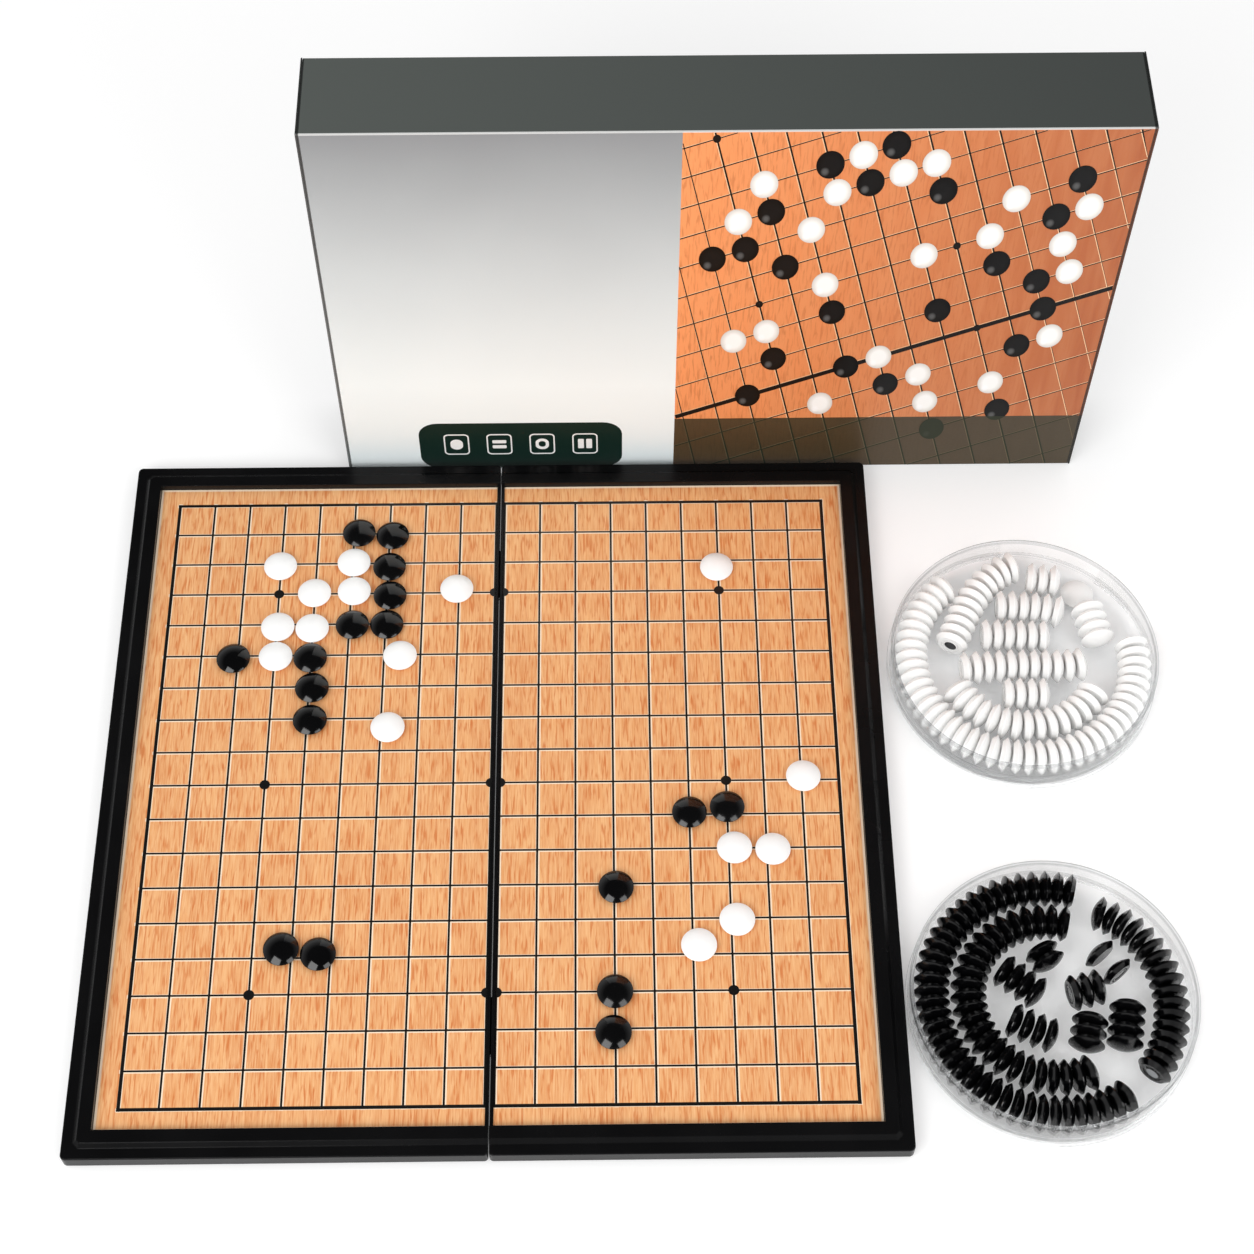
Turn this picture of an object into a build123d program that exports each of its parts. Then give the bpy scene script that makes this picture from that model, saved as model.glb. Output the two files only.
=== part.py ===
"""Folding go set: a hinged magnetic board with a game laid out on it, two round dishes of spare
stones, each standing in its own lid, and the carton standing on edge behind the board.

Lengths are in millimetres. X runs along the board's width, Y away from the player and Z up.
Everything is laid out about the board's centre on the table, and moved at the end so that the
origin is the middle of the whole set's footprint, on the table."""
import os
from math import cos, hypot, radians, sin, sqrt

from build123d import *

# The grid and its print
PITCH = 18.0
LINES = 19
LINE_WIDTH = 0.8
BORDER_WIDTH = 1.2
STAR_DIAMETER = 5.0
STAR_ROWS = (3, 9, 15)
STAR_COLUMN = 6
INK_THICKNESS = 0.08
PRINT_MARGIN = 10.3

# The moulded case of one half
SEAM_GAP = 0.5
SEAM_RIM_WIDTH = 1.5
SEAM_LINE_OFFSET = 2.2
SEAM_GROOVE = 0.35
LEDGE_WIDTH = 5.0
BEVEL_WIDTH = 2.0
BAND_WIDTH = 5.9
UNDERSIDE_HEIGHT = 2.0
LEDGE_HEIGHT = 9.5
BAND_RISE = 2.0
DECK_THICKNESS = 2.0
WALL_THICKNESS = 2.2
RIM_RISE = 1.0
OUTER_CORNER_RADIUS = 2.5
SEAM_CORNER_RADIUS = 1.8
BAND_CORNER_CHAMFER = 2.6
EDGE_ROUNDING = 0.6

# What the case carries
STEEL_THICKNESS = 0.5
FACE_THICKNESS = 0.5
SHEET_CLEARANCE = 0.15
FACE_HEIGHT = 8.0

# Ribs, bosses and feet under the deck
RIB_THICKNESS = 1.6
LONG_RIB_COUNT = 3
CROSS_RIB_COUNT = 7
RIB_SETBACK = 0.5
FOOT_DIAMETER = 10.0
BOSS_MARGIN = 1.6

# The hinge under the seam
HINGE_SETS = (-122.0, 122.0)
KNUCKLE_RADIUS = 1.7
KNUCKLE_LENGTH = 9.0
KNUCKLE_GAP = 0.3
HINGE_PIN_RADIUS = 0.7
PIN_CLEARANCE = 0.06
KNUCKLE_RELIEF = 0.35
FOLDED_GAP = 0.3

# One stone and its magnet
STONE_DIAMETER = 16.5
STONE_THICKNESS = 5.4
STONE_FLAT_DIAMETER = 12.6
STONE_RIM_HEIGHT = 2.0
STONE_RIM_LAND = 0.4
MAGNET_DIAMETER = 6.0
MAGNET_THICKNESS = 1.8
MAGNET_CLEARANCE = 0.1
MAGNET_RECESS = 0.2
RING_RECESS_DIAMETER = 9.2
RING_RECESS_WIDTH = 0.8
RING_RECESS_DEPTH = 0.5
STONE_SEAT_GAP = 0.02

# The dishes and their lids
DISH_RADIUS = 64.5
DISH_WALL = 1.2
DISH_FLOOR = 1.5
DISH_HEIGHT = 18.3
DISH_LIP = 0.8
DISH_LIP_THICKNESS = 1.3
DISH_FILLET = 2.0
LID_CLEARANCE = 0.4
LID_WALL = 1.2
LID_TOP = 1.2
LID_SKIRT = 7.5
WHITE_DISH_TO_BOARD = 4.5
BLACK_DISH_TO_BOARD = 0.5
WHITE_DISH_Y = 64.0
BLACK_DISH_Y = -115.0
ROW_GAP = 0.25
ROW_SEAT_GAP = 0.1
ROW_WALL_GAP = 0.3
ROW_CLEARANCE = 0.03
ROW_SIDE_GAP = 0.35
ROUTES_RING_RADIUS = 54.75
LOOSE_STONE_X = 32.2
LOOSE_STONE_INWARD = 2.144

# The carton
CARTON_WIDTH = 376.0
CARTON_HEIGHT = 250.0
CARTON_DEPTH = 46.0
CARD_THICKNESS = 0.8
CARD_CREASE_RADIUS = 0.6
CARTON_PLACE_X = 108.4
CARTON_TO_BOARD = 4.6
DUST_FLAP_LENGTH = 40.0
DUST_FLAP_SIDE_GAP = 2.5
TUCK_GAP = 0.2
TONGUE_LENGTH = 8.0
TONGUE_CLEARANCE = 0.3
TONGUE_TAPER = 12.0

# Worked out from the sizes above
HALF_GRID = (LINES - 1) / 2 * PITCH
GRID_START = SEAM_LINE_OFFSET
GRID_END = GRID_START + HALF_GRID
FRAME_WIDTH = LEDGE_WIDTH + BEVEL_WIDTH + BAND_WIDTH
SEAM_FACE = SEAM_GAP / 2
FIELD_START = SEAM_FACE + SEAM_RIM_WIDTH
FIELD_END = GRID_END + PRINT_MARGIN
FIELD_HALF_DEPTH = HALF_GRID + PRINT_MARGIN
CASE_END = FIELD_END + FRAME_WIDTH
CASE_HALF_DEPTH = FIELD_HALF_DEPTH + FRAME_WIDTH
STEEL_HEIGHT = FACE_HEIGHT - FACE_THICKNESS
DECK_HEIGHT = STEEL_HEIGHT - STEEL_THICKNESS
DECK_UNDERSIDE = DECK_HEIGHT - DECK_THICKNESS
BAND_HEIGHT = LEDGE_HEIGHT + BAND_RISE
HINGE_HEIGHT = UNDERSIDE_HEIGHT - FOLDED_GAP / 2
INK_HEIGHT = FACE_HEIGHT + INK_THICKNESS
STONE_HEIGHT = INK_HEIGHT + STONE_SEAT_GAP
STONE_RADIUS = STONE_DIAMETER / 2
ROW_PITCH = STONE_THICKNESS + ROW_GAP
LID_RADIUS = DISH_RADIUS + LID_CLEARANCE + LID_WALL
WHITE_DISH_PLACE = (CASE_END + WHITE_DISH_TO_BOARD + LID_RADIUS, WHITE_DISH_Y)
BLACK_DISH_PLACE = (CASE_END + BLACK_DISH_TO_BOARD + LID_RADIUS, BLACK_DISH_Y)
DISH_BASE = LID_TOP
ROW_AXIS_HEIGHT = DISH_BASE + DISH_FLOOR + ROW_SEAT_GAP + STONE_RADIUS
LOOSE_STONE_HEIGHT = DISH_BASE + DISH_FLOOR + STONE_SEAT_GAP
ROW_RING_RADIUS = DISH_RADIUS - DISH_WALL - STONE_RADIUS - ROW_WALL_GAP
LOOSE_STONE_REACH = ROW_RING_RADIUS - LOOSE_STONE_INWARD
LOOSE_STONE_PLACE = (LOOSE_STONE_X, sqrt(LOOSE_STONE_REACH**2 - LOOSE_STONE_X**2))
CARTON_FRONT = CASE_HALF_DEPTH + CARTON_TO_BOARD
CARTON_BACK = CARTON_FRONT + CARTON_DEPTH
SLEEVE_HALF = CARTON_WIDTH / 2 - CARD_THICKNESS - TUCK_GAP

# The game on the board: column and row of each stone, in cells from the front left crossing
BLACK_GAME = {
    "left": [
        (5.15, 16.95), (6.1, 16.85), (6.05, 15.8), (6.1, 14.85), (5.1, 13.9), (6.05, 13.9),
        (1.9, 12.85), (4.0, 12.85), (4.1, 11.9), (4.1, 10.9), (3.75, 4.2), (4.7, 4.05),
    ],
    "right": [(14.0, 8.0), (15.0, 8.15), (12.05, 5.85), (12.0, 2.95), (11.95, 1.85)],
}
WHITE_GAME = {
    "left": [
        (3.0, 15.85), (5.05, 15.95), (4.0, 14.95), (5.1, 15.0), (7.95, 15.05), (3.05, 13.85),
        (4.0, 13.8), (3.05, 12.9), (6.45, 12.9), (6.2, 10.65),
    ],
    "right": [(14.95, 15.7), (17.05, 9.05), (15.15, 6.95), (16.15, 6.9), (15.15, 4.9), (14.15, 4.2)],
}


def block(x, y, z):
    """A box between two limits along each axis, the limits given in either order."""
    low = Vector(min(x), min(y), min(z))
    high = Vector(max(x), max(y), max(z))
    size = high - low
    return Pos(*low) * Box(size.X, size.Y, size.Z, align=(Align.MIN, Align.MIN, Align.MIN))


def mirrored(shape):
    """The left-hand twin of a right-hand piece."""
    return mirror(shape, about=Plane.YZ)


def rib_lines(low, high, count):
    """Where evenly spaced ribs stand between two walls."""
    step = (high - low) / (count + 1)
    return [low + step * (index + 1) for index in range(count)]


def cell_centres(low, high, count):
    """The middles of the spaces that such ribs leave."""
    step = (high - low) / (count + 1)
    return [low + step * (index + 0.5) for index in range(count + 1)]


CAVITY_X = (SEAM_FACE + WALL_THICKNESS, CASE_END - WALL_THICKNESS)
CAVITY_Y = (-CASE_HALF_DEPTH + WALL_THICKNESS, CASE_HALF_DEPTH - WALL_THICKNESS)
CELLS_X = cell_centres(*CAVITY_X, LONG_RIB_COUNT)
CELLS_Y = cell_centres(*CAVITY_Y, CROSS_RIB_COUNT)
RIGHT_FEET = [(x, y) for x in (CELLS_X[0], CELLS_X[-1]) for y in (CELLS_Y[0], CELLS_Y[-1])]
LEFT_FEET = [(x, y) for x in (CELLS_X[0], CELLS_X[-1]) for y in (CELLS_Y[1], CELLS_Y[-2])]


def case_blank():
    """The outside of a right-hand case: ledge, bevelled band and the seam's low rim."""
    depth = (-CASE_HALF_DEPTH, CASE_HALF_DEPTH)
    body = block((SEAM_FACE, CASE_END), depth, (UNDERSIDE_HEIGHT, LEDGE_HEIGHT))
    outer = body.edges().filter_by(Axis.Z).group_by(Axis.X)[-1]
    inner = body.edges().filter_by(Axis.Z).group_by(Axis.X)[0]
    body = fillet(outer, OUTER_CORNER_RADIUS)
    body = fillet(body.edges().filter_by(Axis.Z).group_by(Axis.X)[0], SEAM_CORNER_RADIUS)
    top = body.faces().sort_by(Axis.Z)[-1]
    body = fillet(top.edges(), EDGE_ROUNDING)

    band_depth = CASE_HALF_DEPTH - LEDGE_WIDTH
    band = block(
        (SEAM_FACE, CASE_END - LEDGE_WIDTH),
        (-band_depth, band_depth),
        (DECK_HEIGHT, BAND_HEIGHT),
    )
    band = chamfer(band.edges().filter_by(Axis.Z).group_by(Axis.X)[-1], BAND_CORNER_CHAMFER)
    crown = band.faces().sort_by(Axis.Z)[-1].edges()
    seam_side = crown.sort_by(Axis.X)[0]
    bevelled = [edge for edge in crown if edge.center() != seam_side.center()]
    band = chamfer(bevelled, BAND_RISE, BEVEL_WIDTH)
    blank = body + band

    field = (-FIELD_HALF_DEPTH, FIELD_HALF_DEPTH)
    blank -= block((FIELD_START, FIELD_END), field, (DECK_HEIGHT, BAND_HEIGHT + 1))
    blank -= block((0, FIELD_START), field, (FACE_HEIGHT + RIM_RISE, BAND_HEIGHT + 1))
    groove = Pos(SEAM_FACE, 0, FACE_HEIGHT + RIM_RISE) * Rot(0, 45, 0)
    blank -= groove * Box(sqrt(2) * SEAM_GROOVE, 2 * FIELD_HALF_DEPTH, sqrt(2) * SEAM_GROOVE)
    return blank


def underside(feet):
    """What is hollowed out below the deck: the cavity less its ribs and foot bosses."""
    hollow = block(CAVITY_X, CAVITY_Y, (UNDERSIDE_HEIGHT - 1, DECK_UNDERSIDE))
    rib_span = (UNDERSIDE_HEIGHT + RIB_SETBACK, DECK_UNDERSIDE)
    half = RIB_THICKNESS / 2
    ribs = [
        block((x - half, x + half), CAVITY_Y, rib_span)
        for x in rib_lines(*CAVITY_X, LONG_RIB_COUNT)
    ]
    ribs += [
        block(CAVITY_X, (y - half, y + half), rib_span)
        for y in rib_lines(*CAVITY_Y, CROSS_RIB_COUNT)
    ]
    boss_height = DECK_UNDERSIDE - UNDERSIDE_HEIGHT
    ribs += [
        Pos(x, y, UNDERSIDE_HEIGHT)
        * Cylinder(FOOT_DIAMETER / 2 + BOSS_MARGIN, boss_height, align=ON_TABLE)
        for x, y in feet
    ]
    return hollow - ribs


ON_TABLE = (Align.CENTER, Align.CENTER, Align.MIN)


def knuckle_spans(centre):
    """The lengths along Y of one hinge's three knuckles: the middle one and its neighbours."""
    half = KNUCKLE_LENGTH / 2
    step = KNUCKLE_LENGTH + KNUCKLE_GAP
    return [(centre + shift - half, centre + shift + half) for shift in (-step, 0, step)]


def along_seam(radius, span):
    """A round bar on the hinge axis between two places along Y."""
    bar = Cylinder(radius, span[1] - span[0], align=ON_TABLE)
    return Pos(0, span[0], HINGE_HEIGHT) * Rot(-90, 0, 0) * bar


def hinged(case, own_spans, other_spans):
    """Adds a case's own knuckles, makes room for the other half's, and bores the pin hole."""
    for low, high in other_spans:
        room = (low - KNUCKLE_GAP, high + KNUCKLE_GAP)
        case -= along_seam(KNUCKLE_RADIUS + KNUCKLE_RELIEF, room)
    for span in own_spans:
        case += along_seam(KNUCKLE_RADIUS, span)
    for centre in HINGE_SETS:
        low, _, high = knuckle_spans(centre)
        case -= along_seam(HINGE_PIN_RADIUS + PIN_CLEARANCE, (low[0] - 1, high[1] + 1))
    return case


OUTER_KNUCKLES = [span for y in HINGE_SETS for span in knuckle_spans(y)[::2]]
MIDDLE_KNUCKLES = [knuckle_spans(y)[1] for y in HINGE_SETS]


def right_case():
    case = case_blank() - underside(RIGHT_FEET)
    return hinged(case, OUTER_KNUCKLES, MIDDLE_KNUCKLES)


def left_case():
    case = mirrored(case_blank() - underside(LEFT_FEET))
    return hinged(case, MIDDLE_KNUCKLES, OUTER_KNUCKLES)


def hinge_pins():
    pins = []
    for centre in HINGE_SETS:
        low, _, high = knuckle_spans(centre)
        pins.append(along_seam(HINGE_PIN_RADIUS, (low[0], high[1])))
    return pins


def sheet(bottom, thickness):
    """A sheet that drops into the right-hand field."""
    depth = FIELD_HALF_DEPTH - SHEET_CLEARANCE
    return block(
        (FIELD_START + SHEET_CLEARANCE, FIELD_END - SHEET_CLEARANCE),
        (-depth, depth),
        (bottom, bottom + thickness),
    )


def feet(places):
    """Round pads under the bosses of one half."""
    pad = fillet(
        Cylinder(FOOT_DIAMETER / 2, UNDERSIDE_HEIGHT, align=ON_TABLE).edges().group_by(Axis.Z)[0],
        0.4,
    )
    return [Pos(x, y, 0) * pad for x, y in places]


def grid_print():
    """The inked lines and star points of the right-hand face, as one thin layer."""
    ink = (FACE_HEIGHT, INK_HEIGHT)
    marks = []
    for row in range(LINES):
        y = row * PITCH - HALF_GRID
        half = (BORDER_WIDTH if row in (0, LINES - 1) else LINE_WIDTH) / 2
        marks.append(block((GRID_START, GRID_END + BORDER_WIDTH / 2), (y - half, y + half), ink))
    columns = (LINES + 1) // 2
    for column in range(columns):
        x = GRID_START + column * PITCH
        half = (BORDER_WIDTH if column == columns - 1 else LINE_WIDTH) / 2
        depth = HALF_GRID + BORDER_WIDTH / 2
        low = FIELD_START + SHEET_CLEARANCE if column == 0 else x - half
        marks.append(block((low, x + half), (-depth, depth), ink))
    dot = Cylinder(STAR_DIAMETER / 2, INK_THICKNESS, align=ON_TABLE)
    for row in STAR_ROWS:
        y = row * PITCH - HALF_GRID
        marks.append(Pos(GRID_START + STAR_COLUMN * PITCH, y, FACE_HEIGHT) * dot)
        half_dot = Pos(GRID_START, y, FACE_HEIGHT) * dot
        marks.append(half_dot & block((GRID_START, GRID_END), (y - PITCH, y + PITCH), ink))
    return marks[0].fuse(*marks[1:]).clean()


def dome_height(radius):
    """How high a stone's domed top stands over its foot, at a distance from its middle."""
    rise = STONE_THICKNESS - STONE_RIM_HEIGHT - STONE_RIM_LAND
    dome_radius = (STONE_RADIUS**2 + rise**2) / (2 * rise)
    return STONE_THICKNESS - dome_radius + sqrt(dome_radius**2 - radius**2)


def stone_outline():
    """Half the outline of a stone: flat foot, bevel, narrow rim and domed top."""
    rim_top = STONE_RIM_HEIGHT + STONE_RIM_LAND
    middle = (STONE_RADIUS / 2, dome_height(STONE_RADIUS / 2))
    foot = STONE_FLAT_DIAMETER / 2
    sides = Polyline((0, 0), (foot, 0), (STONE_RADIUS, STONE_RIM_HEIGHT), (STONE_RADIUS, rim_top))
    dome = ThreePointArc((STONE_RADIUS, rim_top), middle, (0, STONE_THICKNESS))
    axis = Line((0, STONE_THICKNESS), (0, 0))
    return make_face(Plane.XZ * Curve([sides, dome, axis]))


def plain_stone():
    """A stone whose underside is hidden against the next one in its row."""
    return revolve(stone_outline(), Axis.Z)


def stone():
    """A stone with the pocket for its magnet, the ring recess round it, and the magnet."""
    shell = plain_stone()
    pocket = MAGNET_THICKNESS + MAGNET_RECESS
    shell -= Cylinder(MAGNET_DIAMETER / 2 + MAGNET_CLEARANCE, pocket, align=ON_TABLE)
    outer = RING_RECESS_DIAMETER / 2
    ring = Cylinder(outer, RING_RECESS_DEPTH, align=ON_TABLE)
    ring -= Cylinder(outer - RING_RECESS_WIDTH, RING_RECESS_DEPTH, align=ON_TABLE)
    shell -= ring
    magnet = Cylinder(MAGNET_DIAMETER / 2, MAGNET_THICKNESS, align=ON_TABLE)
    return [shell, Pos(0, 0, MAGNET_RECESS) * magnet]


def crossing(side, column, row):
    """The place on the table under a column and row of the grid."""
    x = (column - (LINES - 1) / 2) * PITCH
    x += SEAM_LINE_OFFSET if side == "right" else -SEAM_LINE_OFFSET
    return x, row * PITCH - HALF_GRID


def game_stones(colour, game):
    """Every stone of one colour on the board, by node name."""
    pieces = {}
    for side, places in game.items():
        for number, (column, row) in enumerate(places, 1):
            x, y = crossing(side, column, row)
            seat = Pos(x, y, STONE_HEIGHT)
            pieces[f"{colour}_stone_{side}_{number:02}"] = [seat * solid for solid in STONE]
    return pieces


def dish():
    """A round tray with a rolled lip, standing on its lid."""
    inner = DISH_RADIUS - DISH_WALL
    tub = Cylinder(DISH_RADIUS, DISH_HEIGHT, align=ON_TABLE)
    tub = fillet(tub.edges().group_by(Axis.Z)[0], DISH_FILLET)
    lip = Cylinder(DISH_RADIUS + DISH_LIP, DISH_LIP_THICKNESS, align=ON_TABLE)
    tub += Pos(0, 0, DISH_HEIGHT - DISH_LIP_THICKNESS) * lip
    room = Cylinder(inner, DISH_HEIGHT, align=ON_TABLE)
    room = fillet(room.edges().group_by(Axis.Z)[0], DISH_FILLET / 2)
    tub -= Pos(0, 0, DISH_FLOOR) * room
    lip_edges = tub.edges().filter_by(GeomType.CIRCLE).group_by(Axis.Z)[-1]
    return Pos(0, 0, DISH_BASE) * fillet(lip_edges, DISH_LIP_THICKNESS * 0.35)


def lid():
    """The dish's lid, lying open side up under it."""
    shell = Cylinder(LID_RADIUS, LID_SKIRT, align=ON_TABLE)
    shell = fillet(shell.edges().group_by(Axis.Z)[0], 0.8)
    shell -= Pos(0, 0, LID_TOP) * Cylinder(LID_RADIUS - LID_WALL, LID_SKIRT, align=ON_TABLE)
    rim = shell.edges().filter_by(GeomType.CIRCLE).group_by(Axis.Z)[-1]
    return fillet(rim, LID_WALL * 0.35)


def ring_route(start, sweep, inward=0):
    """A row's route along the dish's wall, or some rows inward from it.

    It runs from an angle through a sweep, in degrees.
    """
    radius = ROW_RING_RADIUS - inward * (STONE_DIAMETER + ROW_SIDE_GAP)
    return CenterArc((0, 0), radius, start, sweep)


def inner_route(*points):
    """A row's route by hand through points about the dish's centre, widening with the dish."""
    grow = ROW_RING_RADIUS / ROUTES_RING_RADIUS
    return Spline(*[(x * grow, y * grow) for x, y in points])


def footprint(place, ahead):
    """The outline of a stone on edge as seen from above, from its middle and its direction."""
    steps = 8
    dome = [STONE_RADIUS * (1 - 2 * index / steps) for index in range(steps + 1)]
    foot = STONE_FLAT_DIAMETER / 2
    outline = [(STONE_RIM_HEIGHT, STONE_RADIUS)] + [(dome_height(side), side) for side in dome]
    outline += [(STONE_RIM_HEIGHT, -STONE_RADIUS), (0, -foot), (0, foot)]
    return [
        (
            place.X + ahead.X * (along - STONE_THICKNESS / 2) - ahead.Y * side,
            place.Y + ahead.Y * (along - STONE_THICKNESS / 2) + ahead.X * side,
        )
        for along, side in outline
    ]


def room_between(first, second):
    """The width of the widest straight lane between two convex outlines, below 0 if none."""
    widest = -STONE_DIAMETER
    for outline in (first, second):
        for (x0, y0), (x1, y1) in zip(outline, outline[1:] + outline[:1]):
            length = hypot(x1 - x0, y1 - y0)
            across = ((y1 - y0) / length, (x0 - x1) / length)
            a, b = ([x * across[0] + y * across[1] for x, y in shape] for shape in (first, second))
            widest = max(widest, min(a) - max(b), min(b) - max(a))
    return widest


def row(route, standing):
    """Stones clinging foot to dome along a route, as far as there's room in the dish.

    Only the first one's underside shows. The outlines of those that stand already are given,
    and the new ones are added to them.
    """
    wall = DISH_RADIUS - DISH_WALL - ROW_CLEARANCE
    solids = []
    for index in range(int(route.length / ROW_PITCH)):
        along = (index + 0.5) * ROW_PITCH
        place = route.position_at(along, position_mode=PositionMode.LENGTH)
        ahead = route.tangent_at(along, position_mode=PositionMode.LENGTH)
        outline = footprint(place, ahead)
        if max(hypot(x, y) for x, y in outline) > wall:
            continue
        if any(room_between(outline, other) < ROW_CLEARANCE for other in standing):
            continue
        standing.append(outline)
        foot = place - ahead * (STONE_THICKNESS / 2)
        seat = Plane(origin=foot, x_dir=Vector(0, 0, 1), z_dir=ahead)
        pieces = [PLAIN_STONE] if solids else STONE
        solids += [Pos(0, 0, ROW_AXIS_HEIGHT) * (seat.location * piece) for piece in pieces]
    return solids


def carton_body():
    """The sleeve of folded card, with the dust flaps folded in across both of its ends."""
    low, high = CARTON_PLACE_X - SLEEVE_HALF, CARTON_PLACE_X + SLEEVE_HALF
    card = CARD_THICKNESS
    sleeve = block((low, high), (CARTON_FRONT, CARTON_BACK), (0, CARTON_HEIGHT))
    sleeve = fillet(sleeve.edges().filter_by(Axis.X), CARD_CREASE_RADIUS)
    sleeve -= block(
        (low - 1, high + 1),
        (CARTON_FRONT + card, CARTON_BACK - card),
        (card, CARTON_HEIGHT - card),
    )
    across = (CARTON_FRONT + card + DUST_FLAP_SIDE_GAP, CARTON_BACK - card - DUST_FLAP_SIDE_GAP)
    for end in ((low, low + card), (high - card, high)):
        sleeve += block(end, across, (card / 2, DUST_FLAP_LENGTH))
        sleeve += block(end, across, (CARTON_HEIGHT - DUST_FLAP_LENGTH, CARTON_HEIGHT - card / 2))
    return sleeve


def tuck_flap():
    """The right-hand end flap: its panel, the rounded crease it turns on and its tongue."""
    card = CARD_THICKNESS
    inside = SLEEVE_HALF + TUCK_GAP
    crease = (inside + card / 2, CARTON_BACK - card / 2)
    panel = block((inside, inside + card), (CARTON_FRONT, crease[1]), (0, CARTON_HEIGHT))
    panel += Pos(*crease, 0) * Cylinder(card / 2, CARTON_HEIGHT, align=ON_TABLE)
    reach = crease[1] - CARTON_FRONT - card - TONGUE_CLEARANCE
    tip_x = inside - TONGUE_LENGTH
    tip_reach = sqrt(reach**2 - (crease[0] - tip_x) ** 2)
    root_y, tip_y = crease[1] - reach, crease[1] - tip_reach
    tongue_plan = Polyline(
        (inside + card / 2, root_y),
        (inside + card / 2, root_y + card),
        (tip_x, tip_y + card),
        (tip_x, tip_y),
        close=True,
    )
    low, high = TONGUE_TAPER, CARTON_HEIGHT - TONGUE_TAPER
    tongue = Pos(0, 0, low) * extrude(make_face(tongue_plan), high - low)
    return panel + tongue


STONE = stone()
PLAIN_STONE = plain_stone()

# The rows in each dish, about the dish's centre: arcs along the wall, and inner rows by hand
WHITE_ROWS = {
    "white_outer_row": [ring_route(129, 242.5)],
    "white_second_row": [inner_route((-35, 8), (-27, 25), (-18, 40), (-7, 50.5), (4, 55))],
    "white_inner_rows": [
        inner_route((-10.2, 30.4), (-1, 30.3), (12, 29), (24.5, 26)),
        inner_route((6.5, 47), (24, 44.8)),
        inner_route((34.5, 30.5), (39, 7.6)),
        inner_route((-19, 13.7), (-8, 13.7), (4, 13), (15, 12.6), (21, 12)),
        inner_route((-30.8, -5.4), (-18, -4.2), (-6, -3.8), (8, -3.9), (20, -4), (34.5, -1.5)),
        inner_route((-11.1, -19.9), (11.7, -20.3)),
    ],
    "white_near_row": [ring_route(205, 143, 1)],
}
BLACK_ROWS = {
    "black_outer_row": [ring_route(73.5, 236)],
    "black_second_row": [
        inner_route(
            (40.5, -36.5), (46, -29), (51.6, -16), (53.6, 0), (50.8, 15), (43, 29), (33, 38),
            (22, 43),
        ),
    ],
    "black_left_row": [ring_route(73, 228, 1)],
    "black_inner_rows": [
        inner_route((-22, 15), (-4.5, 0.6)),
        inner_route((-20, -9.5), (-9, -15), (3, -20)),
        inner_route((-3.5, 25), (5, 7.5)),
        inner_route((8, 2), (26, 6.5)),
        inner_route((32, 11), (21, 25.5)),
        inner_route((16.5, -9), (12, -26.5)),
        inner_route((34, -3), (28, -34)),
    ],
}


def build():
    """Every node by name, each a list of solids, laid out about the board's centre."""
    nodes = {
        "right_case": [right_case()],
        "left_case": [left_case()],
        "hinge_pins": hinge_pins(),
        "right_feet": feet(RIGHT_FEET),
        "left_feet": [mirrored(pad) for pad in feet(LEFT_FEET)],
    }
    layers = {
        "steel_sheet": sheet(DECK_HEIGHT, STEEL_THICKNESS),
        "play_face": sheet(STEEL_HEIGHT, FACE_THICKNESS),
        "grid_print": grid_print(),
    }
    for name, layer in layers.items():
        nodes[f"right_{name}"] = [layer]
        nodes[f"left_{name}"] = [mirrored(layer)]
    nodes |= game_stones("black", BLACK_GAME)
    nodes |= game_stones("white", WHITE_GAME)
    for colour, place, rows in (
        ("white", WHITE_DISH_PLACE, WHITE_ROWS),
        ("black", BLACK_DISH_PLACE, BLACK_ROWS),
    ):
        stand = Pos(*place, 0)
        standing = []
        nodes[f"{colour}_dish"] = [stand * dish()]
        nodes[f"{colour}_dish_lid"] = [stand * lid()]
        for name, routes in rows.items():
            nodes[name] = [stand * solid for route in routes for solid in row(route, standing)]
    loose = Pos(*WHITE_DISH_PLACE, 0) * Pos(*LOOSE_STONE_PLACE, LOOSE_STONE_HEIGHT)
    nodes["white_loose_stone"] = [loose * solid for solid in STONE]
    flap = tuck_flap()
    nodes["carton_body"] = [carton_body()]
    nodes["carton_right_flap"] = [Pos(CARTON_PLACE_X, 0, 0) * flap]
    nodes["carton_left_flap"] = [Pos(CARTON_PLACE_X, 0, 0) * mirrored(flap)]
    return nodes


def set_centre(nodes):
    """The middle of the whole set's footprint."""
    whole = Compound(children=[Compound(solids) for solids in nodes.values()]).bounding_box()
    return (whole.min.X + whole.max.X) / 2, (whole.min.Y + whole.max.Y) / 2


NODES = build()
CENTRE_X, CENTRE_Y = set_centre(NODES)

os.makedirs("parts", exist_ok=True)
for name, solids in NODES.items():
    placed = [Pos(-CENTRE_X, -CENTRE_Y, 0) * solid for solid in solids]
    export_step(placed[0] if len(placed) == 1 else Compound(placed), f"parts/{name}.step")
print(len(NODES), "nodes, centre", round(CENTRE_X, 3), round(CENTRE_Y, 3))
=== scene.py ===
"""A folding go set: a hinged magnetic board with a game on it, two clear dishes of spare stones
standing in their lids, and the printed carton standing on edge behind the board."""
import math

import bmesh
import bpy
from mathutils import Matrix, Vector


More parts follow.
